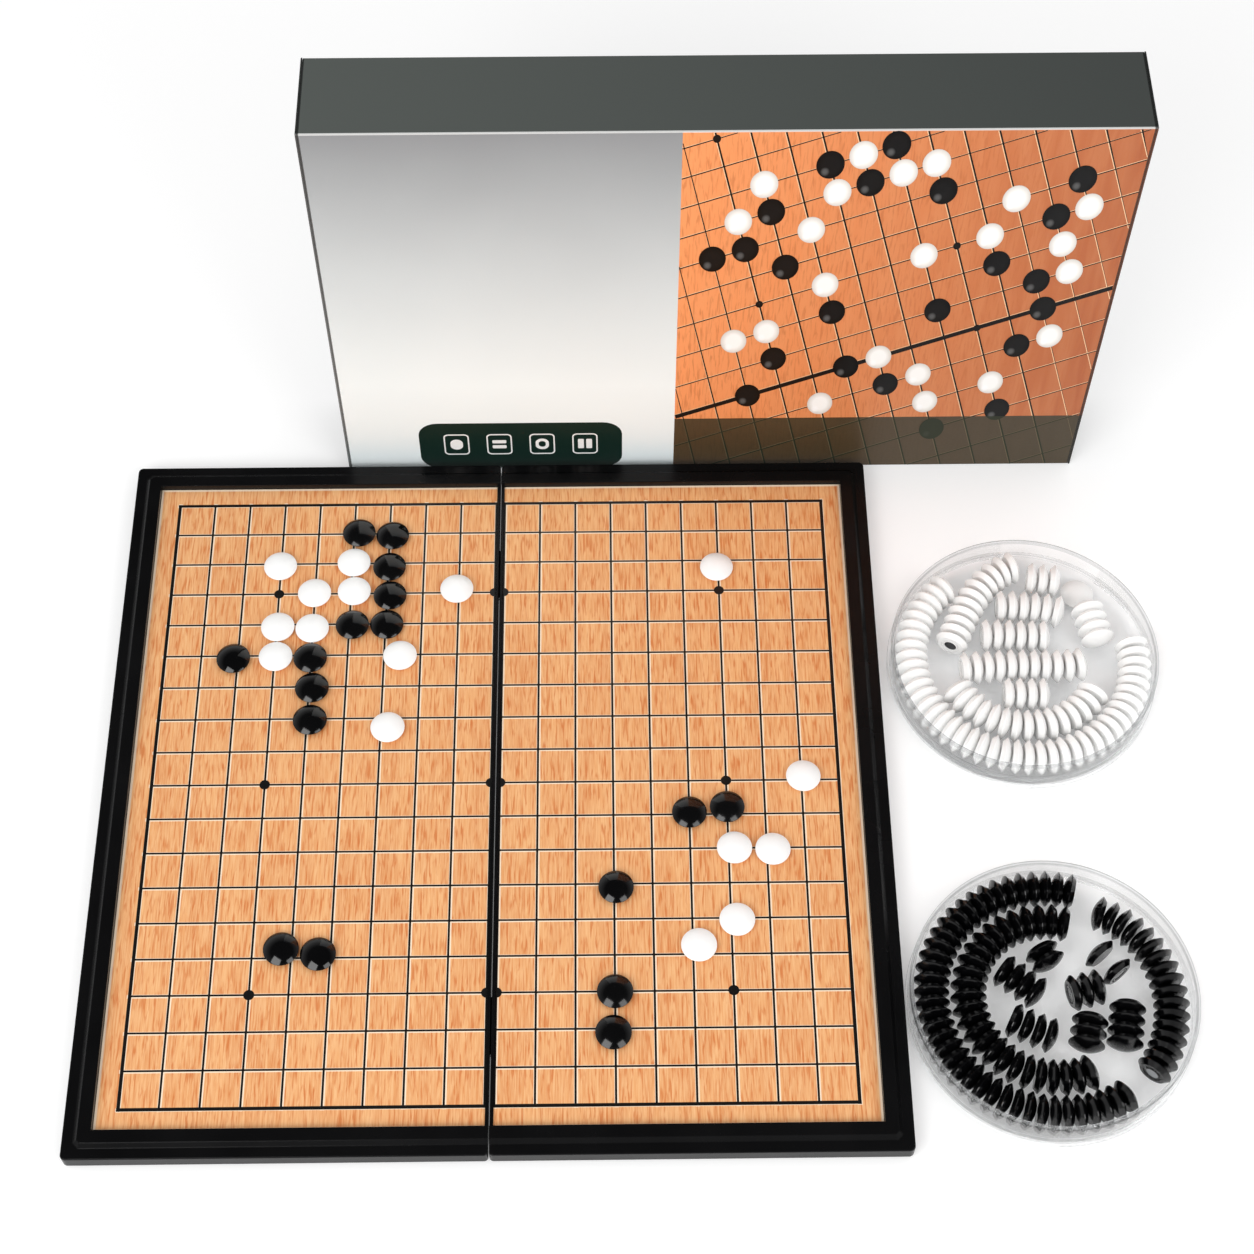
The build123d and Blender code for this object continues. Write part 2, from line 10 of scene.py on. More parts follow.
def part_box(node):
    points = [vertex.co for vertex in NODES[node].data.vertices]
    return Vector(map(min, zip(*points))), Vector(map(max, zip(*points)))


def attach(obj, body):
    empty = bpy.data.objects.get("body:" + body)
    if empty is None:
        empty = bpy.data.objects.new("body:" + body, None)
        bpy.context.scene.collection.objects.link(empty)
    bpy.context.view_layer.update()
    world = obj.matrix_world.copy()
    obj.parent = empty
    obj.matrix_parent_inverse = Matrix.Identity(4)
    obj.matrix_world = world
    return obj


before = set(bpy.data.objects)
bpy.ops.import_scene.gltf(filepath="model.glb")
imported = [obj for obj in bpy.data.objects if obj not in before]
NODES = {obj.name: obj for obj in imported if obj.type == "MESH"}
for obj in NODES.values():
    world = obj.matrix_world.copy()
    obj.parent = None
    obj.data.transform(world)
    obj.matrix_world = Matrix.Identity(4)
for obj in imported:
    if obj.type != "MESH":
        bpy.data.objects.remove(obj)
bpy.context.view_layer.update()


# The room: a white table without an edge in a dim studio, lit by the pale walls and by two window
# panels in front, left and right. The camera looks down at the set through a long lens.
WALL_LIGHT = 0.78
WALL_GLEAM_LOW, WALL_GLEAM_HIGH = 0.55, 0.05
WALL_FADE = (0.2, 0.7)
TABLE_WHITE = (0.96, 0.96, 0.96, 1.0)
TABLE_GLOW = 1.45
TABLE_GLOW_SHARES = {"Is Camera Ray": 0.2, "Is Glossy Ray": 0.15, "Is Transmission Ray": 0.22}
TABLE_REACH = 6.0
TABLE_DROP = 0.0002
SET_MIDDLE = (0.0, 0.0, 0.0)


def add_to_scene(thing):
    """Links a new object into the scene."""
    bpy.context.scene.collection.objects.link(thing)
    return thing


def new_material(name):
    """A material with its node tree and its Principled shader at hand."""
    material = bpy.data.materials.new(name)
    material.use_nodes = True
    return material, material.node_tree, material.node_tree.nodes["Principled BSDF"]


def add_node(tree, kind, settings=None, **inputs):
    """A shader node with its settings made, and its inputs set or linked by name or as i0, i1."""
    node = tree.nodes.new(kind)
    for key, value in (settings or {}).items():
        setattr(node, key, value)
    for key, value in inputs.items():
        by_number = key[0] == "i" and key[1:].isdigit()
        socket = node.inputs[int(key[1:]) if by_number else key]
        if isinstance(value, bpy.types.NodeSocket):
            tree.links.new(value, socket)
        else:
            socket.default_value = value
    return node


def calculate(tree, operation, a, b=0.0, clamp=False):
    """One step of arithmetic on numbers or sockets."""
    settings = {"operation": operation, "use_clamp": clamp}
    return add_node(tree, "ShaderNodeMath", settings, i0=a, i1=b).outputs[0]


def mix_colour(tree, factor, a, b):
    """A blend of two colours by a number or mask."""
    node = add_node(tree, "ShaderNodeMix", {"data_type": "RGBA"}, i0=factor, i6=a, i7=b)
    return node.outputs[2]


def ramp(tree, value, low, high, start=0.0, end=1.0):
    """A value taken from one range to another, without going past its ends."""
    names = {"From Min": low, "From Max": high, "To Min": start, "To Max": end}
    node = add_node(tree, "ShaderNodeMapRange", {"clamp": True}, Value=value, **names)
    return node.outputs[0]


def rgb(red, green, blue):
    """A colour given as it looks on screen, from 0 to 255, as the shader's linear value."""
    def linear(level):
        level /= 255
        return level / 12.92 if level <= 0.04045 else ((level + 0.055) / 1.055) ** 2.4
    return (linear(red), linear(green), linear(blue), 1.0)


camera_data = bpy.data.cameras.new("camera")
camera_data.lens = 69.49
camera_data.sensor_width = 36.0
camera_data.clip_start = 0.05
camera_data.clip_end = 30.0
camera = add_to_scene(bpy.data.objects.new("camera", camera_data))
camera.location = (-0.01301, -0.57219, 1.03065)
camera.rotation_euler = [math.radians(angle) for angle in (31.7867, -0.0650, -0.6656)]
bpy.context.scene.camera = camera
bpy.context.scene.view_settings.view_transform = "Standard"

world = bpy.data.worlds.new("studio")
world.use_nodes = True
bpy.context.scene.world = world
sky = world.node_tree
background = sky.nodes["Background"]
light_path = add_node(sky, "ShaderNodeLightPath")
is_glossy = light_path.outputs["Is Glossy Ray"]
sky_place = add_node(sky, "ShaderNodeTexCoord").outputs["Generated"]
sky_height = add_node(sky, "ShaderNodeSeparateXYZ", Vector=sky_place).outputs["Z"]
wall_gleam = ramp(sky, sky_height, *WALL_FADE, WALL_GLEAM_LOW, WALL_GLEAM_HIGH)
in_gloss = calculate(sky, "MULTIPLY", is_glossy, wall_gleam)
not_glossy = calculate(sky, "SUBTRACT", 1.0, is_glossy)
in_shade = calculate(sky, "MULTIPLY", not_glossy, WALL_LIGHT)
seen_directly = calculate(
    sky, "MAXIMUM", light_path.outputs["Is Camera Ray"], light_path.outputs["Is Transmission Ray"]
)
shown = calculate(sky, "MAXIMUM", calculate(sky, "ADD", in_gloss, in_shade), seen_directly)
sky.links.new(shown, background.inputs["Strength"])
background.inputs["Color"].default_value = (1.0, 1.0, 1.0, 1.0)

table_material, table, table_shader = new_material("white_table")
table_path = add_node(table, "ShaderNodeLightPath")
table_glow = add_node(
    table, "ShaderNodeEmission", Color=(1.0, 1.0, 1.0, 1.0), Strength=TABLE_GLOW
)
table_shader.inputs["Base Color"].default_value = TABLE_WHITE
table_shader.inputs["Roughness"].default_value = 0.9
table_shader.inputs["Specular IOR Level"].default_value = 0.1
table_mix = add_node(
    table, "ShaderNodeMixShader", i1=table_shader.outputs[0], i2=table_glow.outputs[0]
)
table_shown = 0.0
for ray, share in TABLE_GLOW_SHARES.items():
    part = calculate(table, "MULTIPLY", table_path.outputs[ray], share)
    table_shown = calculate(table, "MAXIMUM", table_shown, part)
table.links.new(table_shown, table_mix.inputs["Fac"])
table.links.new(table_mix.outputs[0], table.nodes["Material Output"].inputs["Surface"])

floor_mesh = bpy.data.meshes.new("table_top")
floor_mesh.from_pydata(
    [
        (-TABLE_REACH, -TABLE_REACH, 0), (TABLE_REACH, -TABLE_REACH, 0),
        (TABLE_REACH, TABLE_REACH, 0), (-TABLE_REACH, TABLE_REACH, 0),
    ],
    [], [(0, 1, 2, 3)],
)
floor = add_to_scene(bpy.data.objects.new("table_top", floor_mesh))
floor.location.z = -TABLE_DROP
floor_mesh.materials.append(table_material)


def soft_lamp(name, place, target, size, watts):
    """Adds a rectangular lamp that faces a point on the set."""
    data = bpy.data.lights.new(name, "AREA")
    data.shape = "RECTANGLE"
    data.size, data.size_y = size
    data.energy = watts
    lamp = add_to_scene(bpy.data.objects.new(name, data))
    lamp.location = place
    lamp.rotation_euler = (Vector(target) - Vector(place)).to_track_quat("-Z", "Y").to_euler()


soft_lamp("left_window", (-0.75, -1.0, 1.1), SET_MIDDLE, size=(0.95, 0.80), watts=10.0)
soft_lamp("right_window", (0.85, -1.0, 1.05), SET_MIDDLE, size=(0.80, 0.65), watts=5.5)


# The board's two case halves: black polystyrene, injection moulded with a fine satin texture,
# with edges rounded just enough to catch the light.
NOISE_LOW, NOISE_HIGH = 0.3, 0.7
CASE_EDGE_RADIUS = 0.0007
BEVEL_SAMPLES = 6


def noise(tree, place, scale, detail):
    """An uneven pattern over a piece, as values around one half."""
    node = add_node(tree, "ShaderNodeTexNoise", Vector=place, Scale=scale, Detail=detail)
    return node.outputs["Fac"]


def from_noise(tree, value, start=0.0, end=1.0):
    """The usual spread of a noise's values, taken to another range."""
    return ramp(tree, value, NOISE_LOW, NOISE_HIGH, start, end)


def place_on_piece(tree):
    """The place of a point in the shared frame, which moves with its piece."""
    return add_node(tree, "ShaderNodeTexCoord").outputs["Object"]


def moulded_texture():
    """A shader group for satin moulded plastic: uneven gloss and a fine orange-peel height."""
    group = bpy.data.node_groups.new("moulded_texture", "ShaderNodeTree")
    for label, kind in (("Vector", "NodeSocketVector"), ("Gloss", "NodeSocketFloat")):
        group.interface.new_socket(label, in_out="INPUT", socket_type=kind)
    for label in ("Roughness", "Height", "Tone"):
        group.interface.new_socket(label, in_out="OUTPUT", socket_type="NodeSocketFloat")
    entry, leave = group.nodes.new("NodeGroupInput"), group.nodes.new("NodeGroupOutput")
    broad = noise(group, entry.outputs["Vector"], 28.0, 3.0)
    grain = noise(group, entry.outputs["Vector"], 1400.0, 2.0)
    spread = from_noise(group, broad, -0.05, 0.06)
    rough = calculate(group, "ADD", spread, entry.outputs["Gloss"])
    group.links.new(rough, leave.inputs["Roughness"])
    group.links.new(grain, leave.inputs["Height"])
    group.links.new(broad, leave.inputs["Tone"])
    return group


MOULDED_TEXTURE = moulded_texture()


def moulded_plastic(name, dark, light, gloss, grain_depth, reflect, edge_radius=0.0):
    """Moulded plastic of two close tones; the peel's depth and the edges' radius in metres."""
    material, tree, shader = new_material(name)
    texture = add_node(
        tree, "ShaderNodeGroup", {"node_tree": MOULDED_TEXTURE},
        Vector=place_on_piece(tree), Gloss=gloss,
    )
    tone = from_noise(tree, texture.outputs["Tone"])
    tree.links.new(mix_colour(tree, tone, dark, light), shader.inputs["Base Color"])
    tree.links.new(texture.outputs["Roughness"], shader.inputs["Roughness"])
    bump = add_node(tree, "ShaderNodeBump", Height=texture.outputs["Height"], Distance=grain_depth)
    if edge_radius:
        rounded = add_node(
            tree, "ShaderNodeBevel", {"samples": BEVEL_SAMPLES}, Radius=edge_radius
        )
        tree.links.new(rounded.outputs[0], bump.inputs["Normal"])
    tree.links.new(bump.outputs[0], shader.inputs["Normal"])
    shader.inputs["Specular IOR Level"].default_value = reflect
    return material


def dress(node, material):
    """Puts a better material in each of a CAD node's slots."""
    for slot in NODES[node].material_slots:
        slot.material = material


case_black = moulded_plastic(
    "case_black", rgb(10, 10, 11), rgb(15, 15, 16),
    gloss=0.25, grain_depth=0.00002, reflect=0.17, edge_radius=CASE_EDGE_RADIUS,
)
dress("right_case", case_black)
dress("left_case", case_black)


# The steel sheets under the print hold the stones' magnets, and show only as a thin cut edge.
# The hinge pins under the seam are of the same bright drawn steel.
ROLLED_LINES = (900.0, 12.0, 900.0)
ROLLED_SPREAD = (0.2, 0.8)

steel_material, steel, steel_shader = new_material("rolled_steel")
steel_stretch = add_node(
    steel, "ShaderNodeMapping", Vector=place_on_piece(steel), Scale=ROLLED_LINES
)
steel_lines = noise(steel, steel_stretch.outputs[0], 1.0, 3.0)
steel_tone = mix_colour(steel, steel_lines, rgb(150, 151, 154), rgb(196, 197, 200))
steel.links.new(steel_tone, steel_shader.inputs["Base Color"])
steel_rough = ramp(steel, steel_lines, *ROLLED_SPREAD, 0.25, 0.45)
steel.links.new(steel_rough, steel_shader.inputs["Roughness"])
steel_shader.inputs["Metallic"].default_value = 1.0
for node in ("right_steel_sheet", "left_steel_sheet", "hinge_pins"):
    dress(node, steel_material)


# The playing faces: a satin sheet printed with straight-grained light wood, its fibres running
# away from the player, under the grid's black ink lines with a pale edge left beside each line.
GRAIN_WAVER = 0.35


def wood_grain():
    """A shader group for printed straight grain running along Y, from place to three masks."""
    group = bpy.data.node_groups.new("wood_grain", "ShaderNodeTree")
    group.interface.new_socket("Vector", in_out="INPUT", socket_type="NodeSocketVector")
    for label in ("Fibre", "Streak", "Board"):
        group.interface.new_socket(label, in_out="OUTPUT", socket_type="NodeSocketFloat")
    entry, leave = group.nodes.new("NodeGroupInput"), group.nodes.new("NodeGroupOutput")
    # Each mask's name, stretch and detail, and the values between which it sets in.
    layers = (
        ("Fibre", (1500.0, 75.0, 1.0), 3.0, 0.34, 0.66),
        ("Streak", (900.0, 85.0, 1.0), 2.0, 0.5, 0.72),
        ("Board", (150.0, 16.0, 1.0), 2.0, 0.35, 0.65),
    )
    for label, scale, detail, low, high in layers:
        stretch = add_node(
            group, "ShaderNodeMapping", Vector=entry.outputs["Vector"], Scale=scale
        )
        pattern = add_node(
            group, "ShaderNodeTexNoise", {"noise_dimensions": "2D"},
            Vector=stretch.outputs[0], Scale=1.0, Detail=detail, Distortion=GRAIN_WAVER,
        )
        group.links.new(ramp(group, pattern.outputs["Fac"], low, high), leave.inputs[label])
    return group


WOOD_GRAIN = wood_grain()
CELL = 0.018
BOARD_MIDDLE = (-0.06835, -0.0253)
FIRST_LINE = 0.0022
GRID_HALF = 0.162
PRINT_HALF_DEPTH = 0.17215
PRINT_FAR_EDGE = 0.17435
PRINT_EDGE_OUTER, PRINT_EDGE_INNER = 0.0007, 0.0014
LINE_IN_X, LINE_IN_Y = (0.00046, 0.00056), (0.00042, 0.00052)
HALO_IN_X, HALO_IN_Y = (0.0008, 0.0011), (0.00072, 0.00102)
HALO_SHIFT = 0.0002
HALO_PAST_GRID = (GRID_HALF + 0.0010, GRID_HALF + 0.0014)
LINE_PAST_GRID = GRID_HALF + 0.0006
BORDER_EDGE = (0.00075, 0.00088)
FIBRE_SHARE, STREAK_SHARE, PALE_SHARE = 0.55, 0.85, 0.72


def near_line(tree, offset, inner, outer):
    """A mask around lines a cell apart, full up to the inner distance and none past the outer."""
    distance = calculate(tree, "PINGPONG", offset, CELL / 2)
    return ramp(tree, distance, inner, outer, 1.0, 0.0)


def both_below(tree, a, a_limit, b, b_limit):
    """A mask of where two values both lie below their limits."""
    first = calculate(tree, "LESS_THAN", a, a_limit)
    return calculate(tree, "MULTIPLY", first, calculate(tree, "LESS_THAN", b, b_limit))


wood_material, wood, wood_shader = new_material("printed_wood")
wood_place = place_on_piece(wood)
wood_group = add_node(wood, "ShaderNodeGroup", {"node_tree": WOOD_GRAIN}, Vector=wood_place)
wood_axes = add_node(wood, "ShaderNodeSeparateXYZ", Vector=wood_place)
across_seam = calculate(wood, "SUBTRACT", wood_axes.outputs["X"], BOARD_MIDDLE[0])
from_seam = calculate(wood, "ABSOLUTE", across_seam)
from_first = calculate(wood, "SUBTRACT", from_seam, FIRST_LINE)
from_middle = calculate(wood, "SUBTRACT", wood_axes.outputs["Y"], BOARD_MIDDLE[1])
from_middle_size = calculate(wood, "ABSOLUTE", from_middle)

wood_tone = mix_colour(
    wood, wood_group.outputs["Board"], rgb(222, 150, 93), rgb(232, 167, 109)
)
fibre = calculate(wood, "MULTIPLY", wood_group.outputs["Fibre"], FIBRE_SHARE)
wood_tone = mix_colour(wood, fibre, wood_tone, rgb(246, 200, 147))
streak = calculate(wood, "MULTIPLY", wood_group.outputs["Streak"], STREAK_SHARE)
wood_tone = mix_colour(wood, streak, wood_tone, rgb(208, 118, 58))

seam_side = calculate(wood, "SIGN", across_seam)
halo_x = calculate(
    wood, "ADD", from_first, calculate(wood, "MULTIPLY", seam_side, -HALO_SHIFT)
)
halo_y = calculate(wood, "ADD", from_middle, HALO_SHIFT)
pale = calculate(
    wood, "MAXIMUM", near_line(wood, halo_x, *HALO_IN_X), near_line(wood, halo_y, *HALO_IN_Y)
)
in_grid = calculate(
    wood, "MULTIPLY",
    ramp(wood, from_first, *HALO_PAST_GRID, 1.0, 0.0),
    ramp(wood, from_middle_size, *HALO_PAST_GRID, 1.0, 0.0),
)
pale = calculate(wood, "MULTIPLY", pale, in_grid)
edge_x = ramp(
    wood, from_seam, PRINT_FAR_EDGE - PRINT_EDGE_INNER, PRINT_FAR_EDGE - PRINT_EDGE_OUTER
)
edge_y = ramp(
    wood, from_middle_size,
    PRINT_HALF_DEPTH - PRINT_EDGE_INNER, PRINT_HALF_DEPTH - PRINT_EDGE_OUTER,
)
pale = calculate(wood, "MAXIMUM", pale, calculate(wood, "MAXIMUM", edge_x, edge_y))
pale = calculate(wood, "MULTIPLY", pale, PALE_SHARE)
wood_tone = mix_colour(wood, pale, wood_tone, rgb(255, 244, 222))

printed = calculate(
    wood, "MAXIMUM",
    near_line(wood, from_first, *LINE_IN_X), near_line(wood, from_middle, *LINE_IN_Y),
)
printed_area = both_below(wood, from_first, LINE_PAST_GRID, from_middle_size, LINE_PAST_GRID)
printed = calculate(wood, "MULTIPLY", printed, printed_area)
to_end = calculate(wood, "ABSOLUTE", calculate(wood, "SUBTRACT", from_first, GRID_HALF))
to_side = calculate(wood, "ABSOLUTE", calculate(wood, "SUBTRACT", from_middle_size, GRID_HALF))
border = calculate(
    wood, "MAXIMUM",
    ramp(wood, to_end, *BORDER_EDGE, 1.0, 0.0), ramp(wood, to_side, *BORDER_EDGE, 1.0, 0.0),
)
border_limit = GRID_HALF + BORDER_EDGE[1]
border_area = both_below(wood, from_first, border_limit, from_middle_size, border_limit)
border = calculate(wood, "MULTIPLY", border, border_area)
printed = calculate(wood, "MAXIMUM", printed, border)
wood_tone = mix_colour(wood, printed, wood_tone, rgb(8, 6, 5))
wood.links.new(wood_tone, wood_shader.inputs["Base Color"])
wood_rough = ramp(wood, wood_group.outputs["Fibre"], 0.0, 1.0, 0.42, 0.5)
wood.links.new(wood_rough, wood_shader.inputs["Roughness"])
wood_bump = add_node(wood, "ShaderNodeBump", Height=wood_group.outputs["Fibre"], Distance=0.00001)
wood.links.new(wood_bump.outputs[0], wood_shader.inputs["Normal"])
wood_shader.inputs["Specular IOR Level"].default_value = 0.3
dress("right_play_face", wood_material)
dress("left_play_face", wood_material)

ink_material, ink, ink_shader = new_material("grid_ink")
ink_noise = noise(ink, place_on_piece(ink), 2500.0, 2.0)
ink_tone = mix_colour(ink, ink_noise, rgb(5, 4, 3), rgb(14, 11, 9))
ink.links.new(ink_tone, ink_shader.inputs["Base Color"])
ink.links.new(from_noise(ink, ink_noise, 0.4, 0.55), ink_shader.inputs["Roughness"])
dress("right_grid_print", ink_material)
dress("left_grid_print", ink_material)


# The feet: soft black rubber pads, dusty from the table.
foot_rubber = moulded_plastic(
    "foot_rubber", rgb(30, 30, 30), rgb(44, 43, 42),
    gloss=0.75, grain_depth=0.00005, reflect=0.2,
)
dress("right_feet", foot_rubber)
dress("left_feet", foot_rubber)


# The stones: polished plastic shells, domed on top, with a small disc magnet in the flat foot.
# White and black ones come from the same mould.
STONE_GRAIN = 0.000004


def polished_stone(name, dark, light, gloss, reflect):
    """Polished plastic with hardly any texture and a thin clear shine on top."""
    material = moulded_plastic(name, dark, light, gloss, STONE_GRAIN, reflect)
    shader = material.node_tree.nodes["Principled BSDF"]
    shader.inputs["Coat Weight"].default_value = 0.25
    shader.inputs["Coat Roughness"].default_value = 0.05
    return material


black_stone = polished_stone(
    "black_stone", rgb(3, 3, 4), rgb(6, 6, 7), gloss=0.13, reflect=0.42
)
white_stone = polished_stone(
    "white_stone", rgb(248, 248, 247), rgb(252, 252, 251), gloss=0.2, reflect=0.45
)
for name in NODES:
    if "dish" in name:
        continue
    if name.startswith("black"):
        dress(name, black_stone)
    if name.startswith("white"):
        dress(name, white_stone)


# The disc magnets: sintered ferrite, matt grey, with their ground faces laid on the CAD magnets.
# They show under the first stone of two rows, and under the board's stones when these are lifted.
MAGNET_RADIUS = 0.003
MAGNET_BEVEL = 0.00025
MAGNET_RECESS = 0.0002
MAGNET_SKIN = 0.00003
MAGNET_BEVEL_START = 0.4
MAGNET_SIDES = 32
# The foot of each row's first stone, and the way from there into the stone.
ROW_FEET = {
    "white_second_row": ((0.15472, 0.04681, 0.01105), (0.4289, 0.9034, 0.0)),
    "black_second_row": ((0.22629, -0.17675, 0.01105), (0.6202, 0.7845, 0.0)),
}


def magnet_finish(name, dark, light):
    """Ferrite with fine grinding marks."""
    material, tree, shader = new_material(name)
    marks = noise(tree, place_on_piece(tree), 2200.0, 3.0)
    tree.links.new(mix_colour(tree, marks, dark, light), shader.inputs["Base Color"])
    tree.links.new(from_noise(tree, marks, 0.35, 0.5), shader.inputs["Roughness"])
    shader.inputs["Specular IOR Level"].default_value = 0.35
    return material


def circle(sides):
    """Points spaced evenly round a circle of radius one."""
    turns = [math.tau * index / sides for index in range(sides)]
    return [(math.cos(turn), math.sin(turn)) for turn in turns]


def join_rings(bm, a, b):
    """Faces all the way round between two rings with as many corners."""
    for index in range(len(a)):
        after = (index + 1) % len(a)
        bm.faces.new((a[index], a[after], b[after], b[index]))


def new_piece(name, bm, material):
    """A piece of one material from finished faces, all turned outward."""
    bmesh.ops.recalc_face_normals(bm, faces=bm.faces)
    mesh = bpy.data.meshes.new(name)
    bm.to_mesh(mesh)
    bm.free()
    mesh.materials.append(material)
    return add_to_scene(bpy.data.objects.new(name, mesh))


def magnet_face(name, body, middle, inward, material):
    """Adds the magnet's ground face, a thin bevelled disc just proud of the CAD magnet."""
    inward = Vector(inward).normalized()
    turned = inward.to_track_quat("Z", "Y").to_matrix().to_4x4()
    place = Matrix.Translation(Vector(middle) + inward * MAGNET_RECESS) @ turned
    bm = bmesh.new()
    rings = []
    for radius, height in (
        (MAGNET_RADIUS, 0.0), (MAGNET_RADIUS, -MAGNET_SKIN * MAGNET_BEVEL_START),
        (MAGNET_RADIUS - MAGNET_BEVEL, -MAGNET_SKIN),
    ):
        rings.append([
            bm.verts.new(place @ Vector((radius * across, radius * up, height)))
            for across, up in circle(MAGNET_SIDES)
        ])
    for a, b in zip(rings, rings[1:]):
        join_rings(bm, a, b)
    bm.faces.new(list(reversed(rings[0])))
    bm.faces.new(rings[-1])
    piece = new_piece(name, bm, material)
    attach(piece, body)


board_magnet = magnet_finish("board_magnet", rgb(52, 53, 55), rgb(78, 79, 82))
white_row_magnet = magnet_finish("white_row_magnet", rgb(26, 27, 29), rgb(46, 47, 50))
black_row_magnet = magnet_finish("black_row_magnet", rgb(120, 122, 124), rgb(160, 162, 164))
for name in NODES:
    if "_stone_" in name and "loose" not in name:
        low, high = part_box(name)
        foot = ((low.x + high.x) / 2, (low.y + high.y) / 2, low.z)
        magnet_face(f"{name}_magnet_face", name, foot, (0.0, 0.0, 1.0), board_magnet)
for name, (foot, ahead) in ROW_FEET.items():
    finish = white_row_magnet if name.startswith("white") else black_row_magnet
    magnet_face(f"{name}_magnet_face", name, foot, ahead, finish)


# The two round dishes and the lids that they stand in: thin clear polystyrene, moulded, polished
# and slightly hazy. Grey painted where they are seen edge-on and along the rim and skirt stands in
# for their reflections, so that their edges show and the rest hardly does.
RIM_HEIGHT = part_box("white_dish")[1].z
SKIRT_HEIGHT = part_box("white_dish_lid")[1].z
# The heights of the rim and skirt bands, which are painted grey as the plastic's reflections there.
RIM_BAND = (RIM_HEIGHT - 0.0014, RIM_HEIGHT - 0.0010)
SKIRT_BAND_MIDDLE = SKIRT_HEIGHT - 0.0004
SKIRT_BAND = (0.0003, 0.0006)
SKIRT_SHARE = 0.8
EDGE_SOLID = 0.55
TILT_IN_PAINTED_GREY, PAINTED_TILT_GREY_SHARE = (0.62, 0.97), 0.85
TILT_IN_SOLID = (0.35, 0.95)
FLAT_SOLID, STEEP_SOLID = 0.05, 0.62
SHADOW_SHARE = 0.1

clear_material, clear, clear_shader = new_material("clear_polystyrene")
clear_place = place_on_piece(clear)
clear_height = add_node(clear, "ShaderNodeSeparateXYZ", Vector=clear_place).outputs["Z"]
clear_tilt = add_node(clear, "ShaderNodeLayerWeight", Blend=0.5).outputs["Facing"]
clear_path = add_node(clear, "ShaderNodeLightPath")
haze = noise(clear, clear_place, 40.0, 3.0)
from_skirt = calculate(
    clear, "ABSOLUTE", calculate(clear, "SUBTRACT", clear_height, SKIRT_BAND_MIDDLE)
)
on_edge = calculate(
    clear, "MAXIMUM",
    ramp(clear, clear_height, *RIM_BAND),
    ramp(clear, from_skirt, *SKIRT_BAND, SKIRT_SHARE, 0.0),
)
# Painted reflection: the base colour turns grey where the plastic is seen edge-on and on the rim
# and skirt bands.
painted_tilt_grey = ramp(clear, clear_tilt, *TILT_IN_PAINTED_GREY, 0.0, PAINTED_TILT_GREY_SHARE)
painted_rim_grey = calculate(clear, "MAXIMUM", painted_tilt_grey, on_edge)
clear_tone = mix_colour(clear, haze, rgb(247, 249, 250), rgb(252, 253, 253))
clear_tone = mix_colour(clear, painted_rim_grey, clear_tone, rgb(172, 175, 177))
clear.links.new(clear_tone, clear_shader.inputs["Base Color"])
clear.links.new(from_noise(clear, haze, 0.02, 0.06), clear_shader.inputs["Roughness"])
clear_solid = calculate(
    clear, "MAXIMUM", ramp(clear, clear_tilt, *TILT_IN_SOLID, FLAT_SOLID, STEEP_SOLID),
    calculate(clear, "MULTIPLY", on_edge, EDGE_SOLID),
)
clear_alpha = calculate(
    clear, "MULTIPLY", clear_solid,
    ramp(clear, clear_path.outputs["Is Shadow Ray"], 0.0, 1.0, 1.0, SHADOW_SHARE),
)
clear.links.new(clear_alpha, clear_shader.inputs["Alpha"])
clear_shader.inputs["IOR"].default_value = 1.18
clear_shader.inputs["Transmission Weight"].default_value = 1.0
clear_shader.inputs["Metallic"].default_value = 0.0
for node in ("white_dish", "black_dish", "white_dish_lid", "black_dish_lid"):
    dress(node, clear_material)


# The carton: folded card, printed silver and wood-coloured in front and slate grey elsewhere,
# under a satin varnish. Its inside is bare grey card.
CARTON_LOW, CARTON_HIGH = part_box("carton_body")
CARTON_FRONT = CARTON_LOW.y
FRONT_SKIN = 0.00004
PICTURE_LEFT = CARTON_LOW.x + 0.1677
SILVER_FADE = (0.07, 0.25)
STRIP_TOP = 0.042
STRIP_COLOUR = rgb(46, 51, 36)
STRIP_ON_CARD, STRIP_ON_INK = 0.93, 0.88
CREASE_WIDTH = 0.0007
CREASE_SHARE = 0.7
END_SHADE = 0.0006
END_SHADE_SHARE = 0.8
HALF_CARD = 0.0004
PICTURE_BOARD_SHARE, PICTURE_STREAK_SHARE = 0.18, 0.5

card_material, card, card_shader = new_material("printed_card")
card_place = place_on_piece(card)
card_axes = add_node(card, "ShaderNodeSeparateXYZ", Vector=card_place)
card_x, card_y, card_z = (card_axes.outputs[axis] for axis in "XYZ")

sheen = from_noise(card, noise(card, card_place, 9.0, 2.0), -0.03, 0.03)
gradient = calculate(card, "ADD", ramp(card, card_z, *SILVER_FADE), sheen, clamp=True)
silver = mix_colour(card, gradient, rgb(246, 254, 255), rgb(141, 144, 147))
along_carton = ramp(card, card_x, CARTON_LOW.x, CARTON_HIGH.x)
slate = mix_colour(card, along_carton, rgb(82, 87, 84), rgb(66, 70, 68))

picture_turn = add_node(
    card, "ShaderNodeMapping", Vector=card_place, Rotation=(math.radians(90), 0.0, 0.0)
)
picture_grain = add_node(
    card, "ShaderNodeGroup", {"node_tree": WOOD_GRAIN}, Vector=picture_turn.outputs[0]
)
# Painted light: the picture's wood is lighter at its left end and darker at its right, as the light
# falls.
picture_painted_light = ramp(card, card_x, PICTURE_LEFT, CARTON_HIGH.x)
picture = mix_colour(card, picture_painted_light, rgb(246, 156, 98), rgb(172, 92, 52))
picture_board = calculate(
    card, "MULTIPLY", picture_grain.outputs["Board"], PICTURE_BOARD_SHARE
)
picture = mix_colour(card, picture_board, picture, rgb(226, 158, 108))
picture_streak = calculate(
    card, "MULTIPLY", picture_grain.outputs["Streak"], PICTURE_STREAK_SHARE
)
picture = mix_colour(card, picture_streak, picture, rgb(186, 104, 56))

